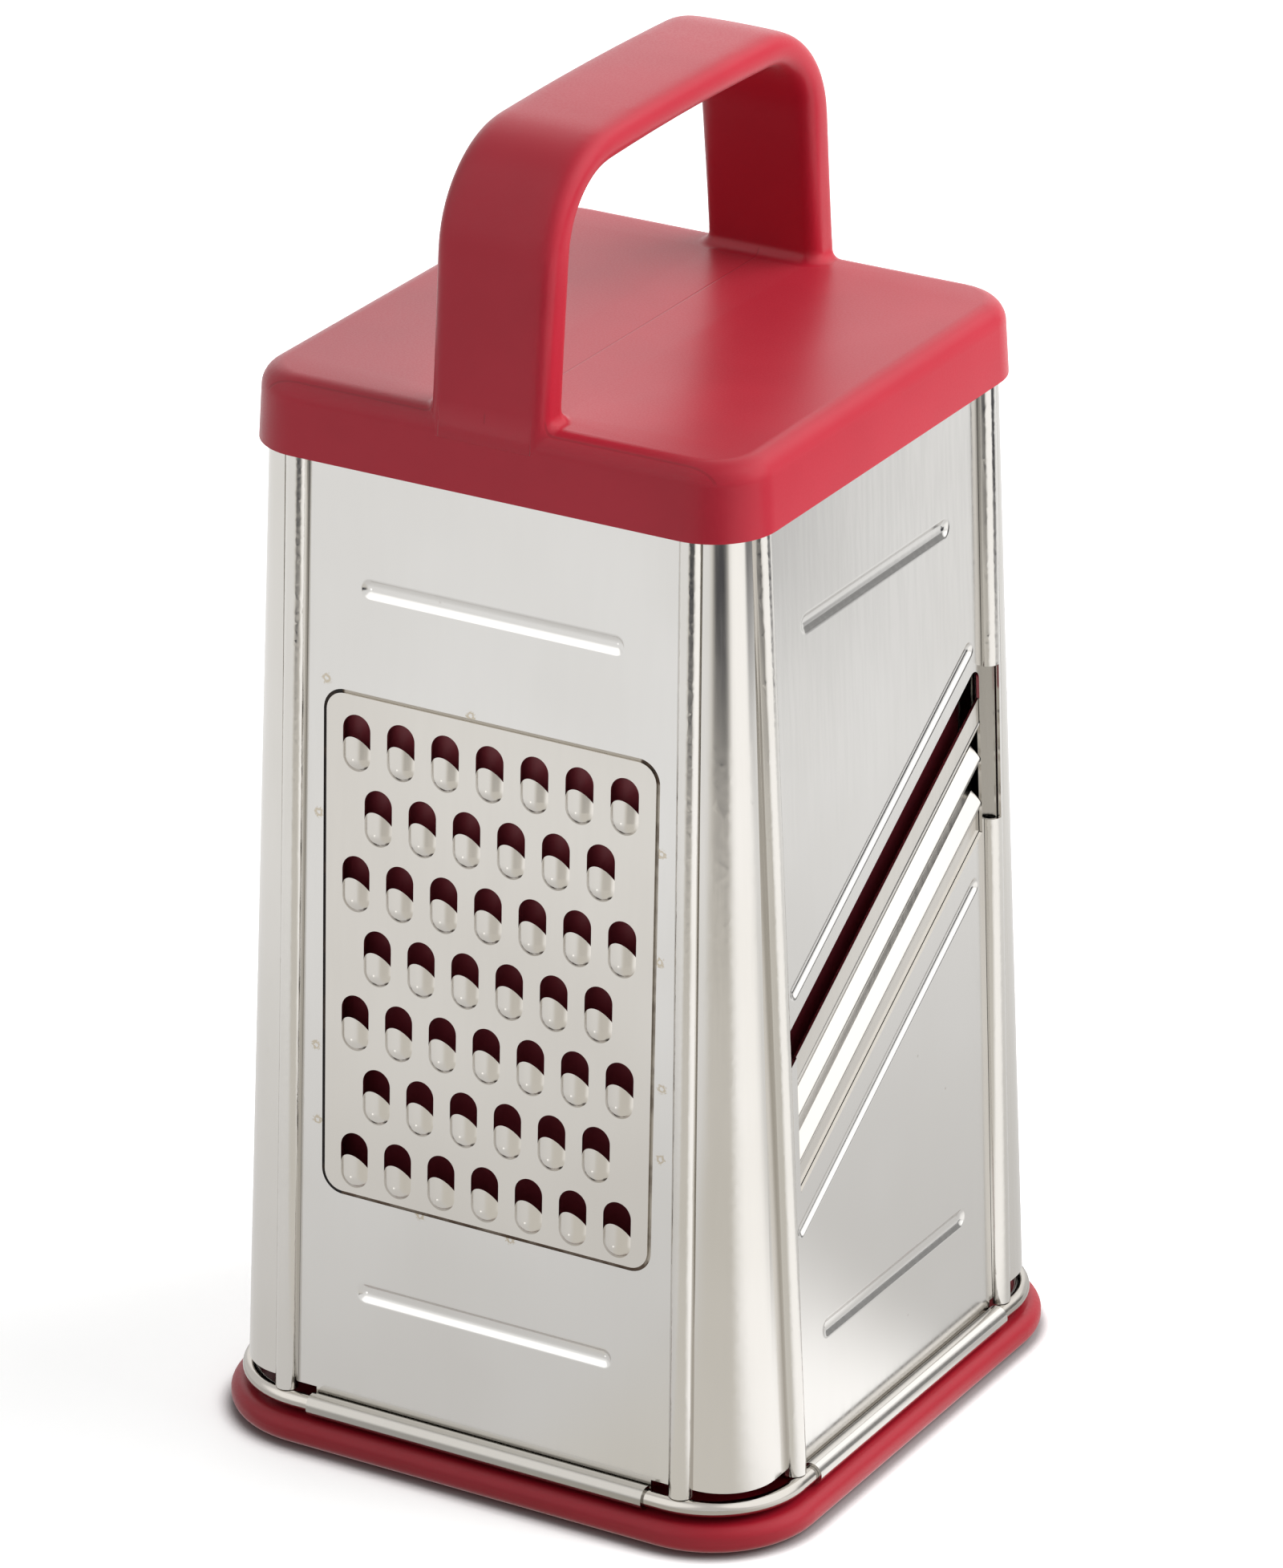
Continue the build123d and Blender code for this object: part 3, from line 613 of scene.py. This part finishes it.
def seam_shade(across, up):
    """How deep the seam's painted shade is at a place round the window: darkest on its left, then
    at its foot.
    """
    if across < -WINDOW_WIDE / 2 + WINDOW_CORNER:
        return SEAM_SHADE_LEFT
    if up > WINDOW_HIGH - WINDOW_CORNER:
        return SEAM_SHADE_TOP_RIGHT if across > WINDOW_WIDE / 2 - WINDOW_CORNER else SEAM_SHADE_TOP
    return SEAM_SHADE_FOOT if up < WINDOW_LOW + WINDOW_CORNER / 2 else SEAM_SHADE_RIGHT


# The seams' painted shade: how unevenly it lies, and its tones from tan steel through brown to
# black
SHADE_CELLS, SHADE_DETAIL, SHADE_UNEVEN = 260.0, 3.0, 0.14
TAN_STEEL, BROWN_SHADE = (0.46, 0.42, 0.36, 1), (0.11, 0.07, 0.045, 1)
BLACK_SHADE = (0.012, 0.009, 0.008, 1)
BROWNING, BLACKENING, DULLING = (0.2, 0.7), (0.7, 0.98), (0.2, 0.8)
SEAM_METAL, SEAM_SMOOTH, SEAM_ROUGH = 0.7, 0.4, 0.8


def seam_shade_material():
    """Steel in a seam, from tan to brown-black as its painted shade deepens."""
    material, graph, shader = new_material("seam_shade")
    seam_shade_level = graph.add("ShaderNodeAttribute", attribute_name="seam_shade_level").outputs["Fac"]
    uneven = graph.ramp(graph.noise(graph.place(), SHADE_CELLS, SHADE_DETAIL),
                        *SOFT_CONTRAST, -SHADE_UNEVEN, SHADE_UNEVEN)
    seam_shade_level = graph.math("ADD", seam_shade_level, uneven, clamp=True)
    tone = graph.mix(graph.ramp(seam_shade_level, *BROWNING), TAN_STEEL, BROWN_SHADE)
    tone = graph.mix(graph.ramp(seam_shade_level, *BLACKENING), tone, BLACK_SHADE)
    graph.put(shader.inputs["Base Color"], tone)
    graph.put(shader.inputs["Metallic"], graph.ramp(seam_shade_level, *DULLING, SEAM_METAL, 0.0))
    graph.put(shader.inputs["Roughness"], graph.ramp(seam_shade_level, *DULLING, SEAM_SMOOTH, SEAM_ROUGH))
    return material


def window_seam(side, material):
    """The narrow shadowed channel between a window's edge and its plate, as one thin ring painted
    dark as shade.
    """
    piece = new_plane(side + "_window_seam", WINDOW_WIDE, WINDOW_HIGH - WINDOW_LOW)
    bpy.ops.mesh.bevel(offset=WINDOW_CORNER, segments=CORNER_STEPS, affect="VERTICES")
    bpy.ops.mesh.select_all(action="SELECT")
    bpy.ops.mesh.inset(thickness=SEAM_WIDTH)
    bpy.ops.mesh.delete(type="FACE")
    bpy.ops.mesh.select_all(action="SELECT")
    bpy.ops.mesh.extrude_region_move(
        TRANSFORM_OT_translate={"value": (0, 0, SEAM_FRONT - SEAM_BACK)})
    bpy.ops.mesh.select_all(action="SELECT")
    bpy.ops.mesh.normals_make_consistent(inside=False)
    bpy.ops.object.mode_set(mode="OBJECT")
    middle = (WINDOW_HIGH + WINDOW_LOW) / 2
    # Each point's depth of painted shade, which the seam's material reads
    seam_shade_level = piece.data.attributes.new("seam_shade_level", "FLOAT", "POINT")
    for place, value in zip(piece.data.vertices, seam_shade_level.data):
        value.value = seam_shade(place.co.x, place.co.y + middle)
    stand(piece, SIDE_FRAMES[side] @ Matrix.Translation((0, middle, SEAM_BACK)), material)


seam_material = seam_shade_material()
cap_moulding()
slicer_blade()
for side in ("front", "back", "left"):
    window_seam(side, seam_material)


# Studio: azimuths are degrees from the slicing side towards the back, elevations from the floor.
# A patch or a sector is full up to its near angle, and is gone at its far angle.
WORLD_LEVEL = 0.55
BRIGHT_PATCHES = (  # azimuth, elevation, near, far, brightness
    (8, 42, 30, 45, 1.75),
    (76, 47, 18, 27, 1.75),
    (121, 26, 16, 34, 1.50),
    (-125, 38, 22, 42, 1.70),
)
GAP_PATCH = (55, 8, 8, 16, 0.34)


def towards(azimuth, elevation):
    """The direction at an azimuth and elevation in degrees."""
    around, above = radians(azimuth), radians(elevation)
    return Vector((cos(around) * cos(above), sin(around) * cos(above), sin(above)))


def within(graph, direction, centre, near, far):
    """One within near degrees of a centre direction, fading to zero at far degrees."""
    aligned = graph.add("ShaderNodeVectorMath", {0: direction, 1: tuple(centre)},
                        operation="DOT_PRODUCT")
    return graph.ramp(aligned.outputs["Value"], cos(radians(far)), cos(radians(near)))


def studio_world():
    """A white surround, in which reflections also show bright patches and a darker gap."""
    world = bpy.data.worlds.new("studio")
    scene.world = world
    world.use_nodes = True
    world.node_tree.nodes.clear()
    graph = Graph(world.node_tree)
    direction = graph.add("ShaderNodeTexCoord").outputs["Generated"]
    level = WHITE
    for azimuth, elevation, near, far, brightness in (*BRIGHT_PATCHES, GAP_PATCH):
        patch = within(graph, direction, towards(azimuth, elevation), near, far)
        level = graph.mix(patch, level, (brightness, brightness, brightness, 1))
    shown = graph.mix(graph.any_ray("Is Glossy Ray"), WHITE, level)
    lit = graph.add("ShaderNodeBackground", {"Strength": WORLD_LEVEL})
    seen = graph.add("ShaderNodeBackground", {"Color": shown, "Strength": 1.0})
    rays = graph.any_ray("Is Camera Ray", "Is Glossy Ray", "Is Transmission Ray")
    both = graph.add("ShaderNodeMixShader", {0: rays})
    graph.put(both.inputs[1], lit)
    graph.put(both.inputs[2], seen)
    graph.add("ShaderNodeOutputWorld", {"Surface": both})


FLOOR_SIZE = 6.0
FLOOR_DROP = 0.4 * MM
FLOOR_GLOW = 0.47
FLOOR_WHITE, FLOOR_ROUGHNESS = (0.97, 0.97, 0.97, 1), 0.9
# The dark line where the container meets the floor, a painted contact shadow
CONTACT_REACH, CONTACT_SAMPLES = 5 * MM, 8
CONTACT_EDGE, CONTACT_SHADOW_TONE = (0.45, 0.95), (0.35, 0.34, 0.34, 1)
# The floor as the steel mirrors it, a glow with painted shade near the grater and a painted pool
# of light in its bright sector: distances in metres, and sectors as azimuth, near and far
FLOOR_NEAR, FLOOR_FAR = 0.06, 0.42
FLOOR_NEAR_SHADE_TONE, FLOOR_FAR_TONE = (0.80, 0.79, 0.78, 1), (1.06, 1.06, 1.06, 1)
BRIGHT_SECTOR, BRIGHT_TONE = (-6, 6, 40), (1.40, 1.39, 1.38, 1)
DULL_SECTOR, DULL_TONE = (-60, 14, 38), (0.80, 0.775, 0.725, 1)
ROOM_SECTORS = ((-60, 10, 26), (35, 10, 21))
ROOM_NEAR, ROOM_FAR, ROOM_TONE = 0.40, 0.62, (0.08, 0.08, 0.09, 1)


def mirrored_floor(graph):
    """The mirrored floor as a glow: painted shade near the grater, dull and bright by turns with a
    painted pool of light, a dark room beyond.
    """
    place = graph.place()
    direction = graph.add("ShaderNodeVectorMath", {0: place}, operation="NORMALIZE").outputs[0]
    reach = graph.add("ShaderNodeVectorMath", {0: place}, operation="LENGTH").outputs["Value"]

    def sector(azimuth, near, far):
        return within(graph, direction, towards(azimuth, 0), near, far)

    # Painted shade: the mirrored floor darkens towards the grater
    tone = graph.mix(graph.ramp(reach, FLOOR_NEAR, FLOOR_FAR), FLOOR_NEAR_SHADE_TONE, FLOOR_FAR_TONE)
    tone = graph.mix(sector(*DULL_SECTOR), tone, DULL_TONE)
    # Painted pool of light: the bright sector of the mirrored floor
    tone = graph.mix(sector(*BRIGHT_SECTOR), tone, BRIGHT_TONE)
    distant = graph.ramp(reach, ROOM_NEAR, ROOM_FAR)
    for room in ROOM_SECTORS:
        tone = graph.mix(graph.product(sector(*room), distant), tone, ROOM_TONE)
    return graph.add("ShaderNodeEmission", {"Color": tone, "Strength": 1.0})


def studio_floor():
    """A white floor that keeps the grater's shadow, with a painted contact shadow near the
    container.
    """
    bpy.ops.object.select_all(action="DESELECT")
    bpy.ops.mesh.primitive_plane_add(size=FLOOR_SIZE, location=(0, 0, -FLOOR_DROP))
    plane = bpy.context.object
    plane.name = "floor"
    material, graph, shader = new_material("floor_white")
    # Painted contact shadow: occlusion darkens the floor's colour and its glow near the container
    nearness = graph.add("ShaderNodeAmbientOcclusion", {"Distance": CONTACT_REACH},
                         samples=CONTACT_SAMPLES).outputs["AO"]
    clear = graph.ramp(nearness, *CONTACT_EDGE)
    graph.put(shader.inputs["Base Color"], graph.mix(clear, CONTACT_SHADOW_TONE, FLOOR_WHITE))
    shader.inputs["Roughness"].default_value = FLOOR_ROUGHNESS
    shader.inputs["Specular IOR Level"].default_value = 0
    shader.inputs["Emission Color"].default_value = WHITE
    graph.put(shader.inputs["Emission Strength"],
              graph.product(graph.any_ray("Is Camera Ray"), FLOOR_GLOW, clear))
    both = graph.add("ShaderNodeMixShader",
                     {0: graph.any_ray("Is Glossy Ray", "Is Transmission Ray")})
    graph.put(both.inputs[1], shader)
    graph.put(both.inputs[2], mirrored_floor(graph))
    graph.put(material.node_tree.nodes["Material Output"].inputs["Surface"], both)
    plane.data.materials.append(material)


def softbox(name, azimuth, elevation, distance, size, level):
    """A square softbox that faces the grater's middle. Its level is 1 where it is plain white."""
    middle = Vector((0, 0, AIM_HEIGHT))
    facing = towards(azimuth, elevation)
    data = bpy.data.lights.new(name, "AREA")
    data.shape = "SQUARE"
    data.size = size
    data.energy = level * pi * size ** 2
    lamp = bpy.data.objects.new(name, data)
    scene.collection.objects.link(lamp)
    lamp.location = middle + facing * distance
    lamp.visible_glossy = False
    lamp.rotation_mode = "QUATERNION"
    lamp.rotation_quaternion = facing.to_track_quat("Z", "Y")


studio_world()
studio_floor()
softbox("side_softbox", azimuth=34, elevation=34, distance=1.25, size=1.25, level=4.4)
softbox("back_softbox", azimuth=121, elevation=30, distance=1.5, size=1.0, level=0.8)
photo_camera()
scene.view_settings.view_transform = "Standard"
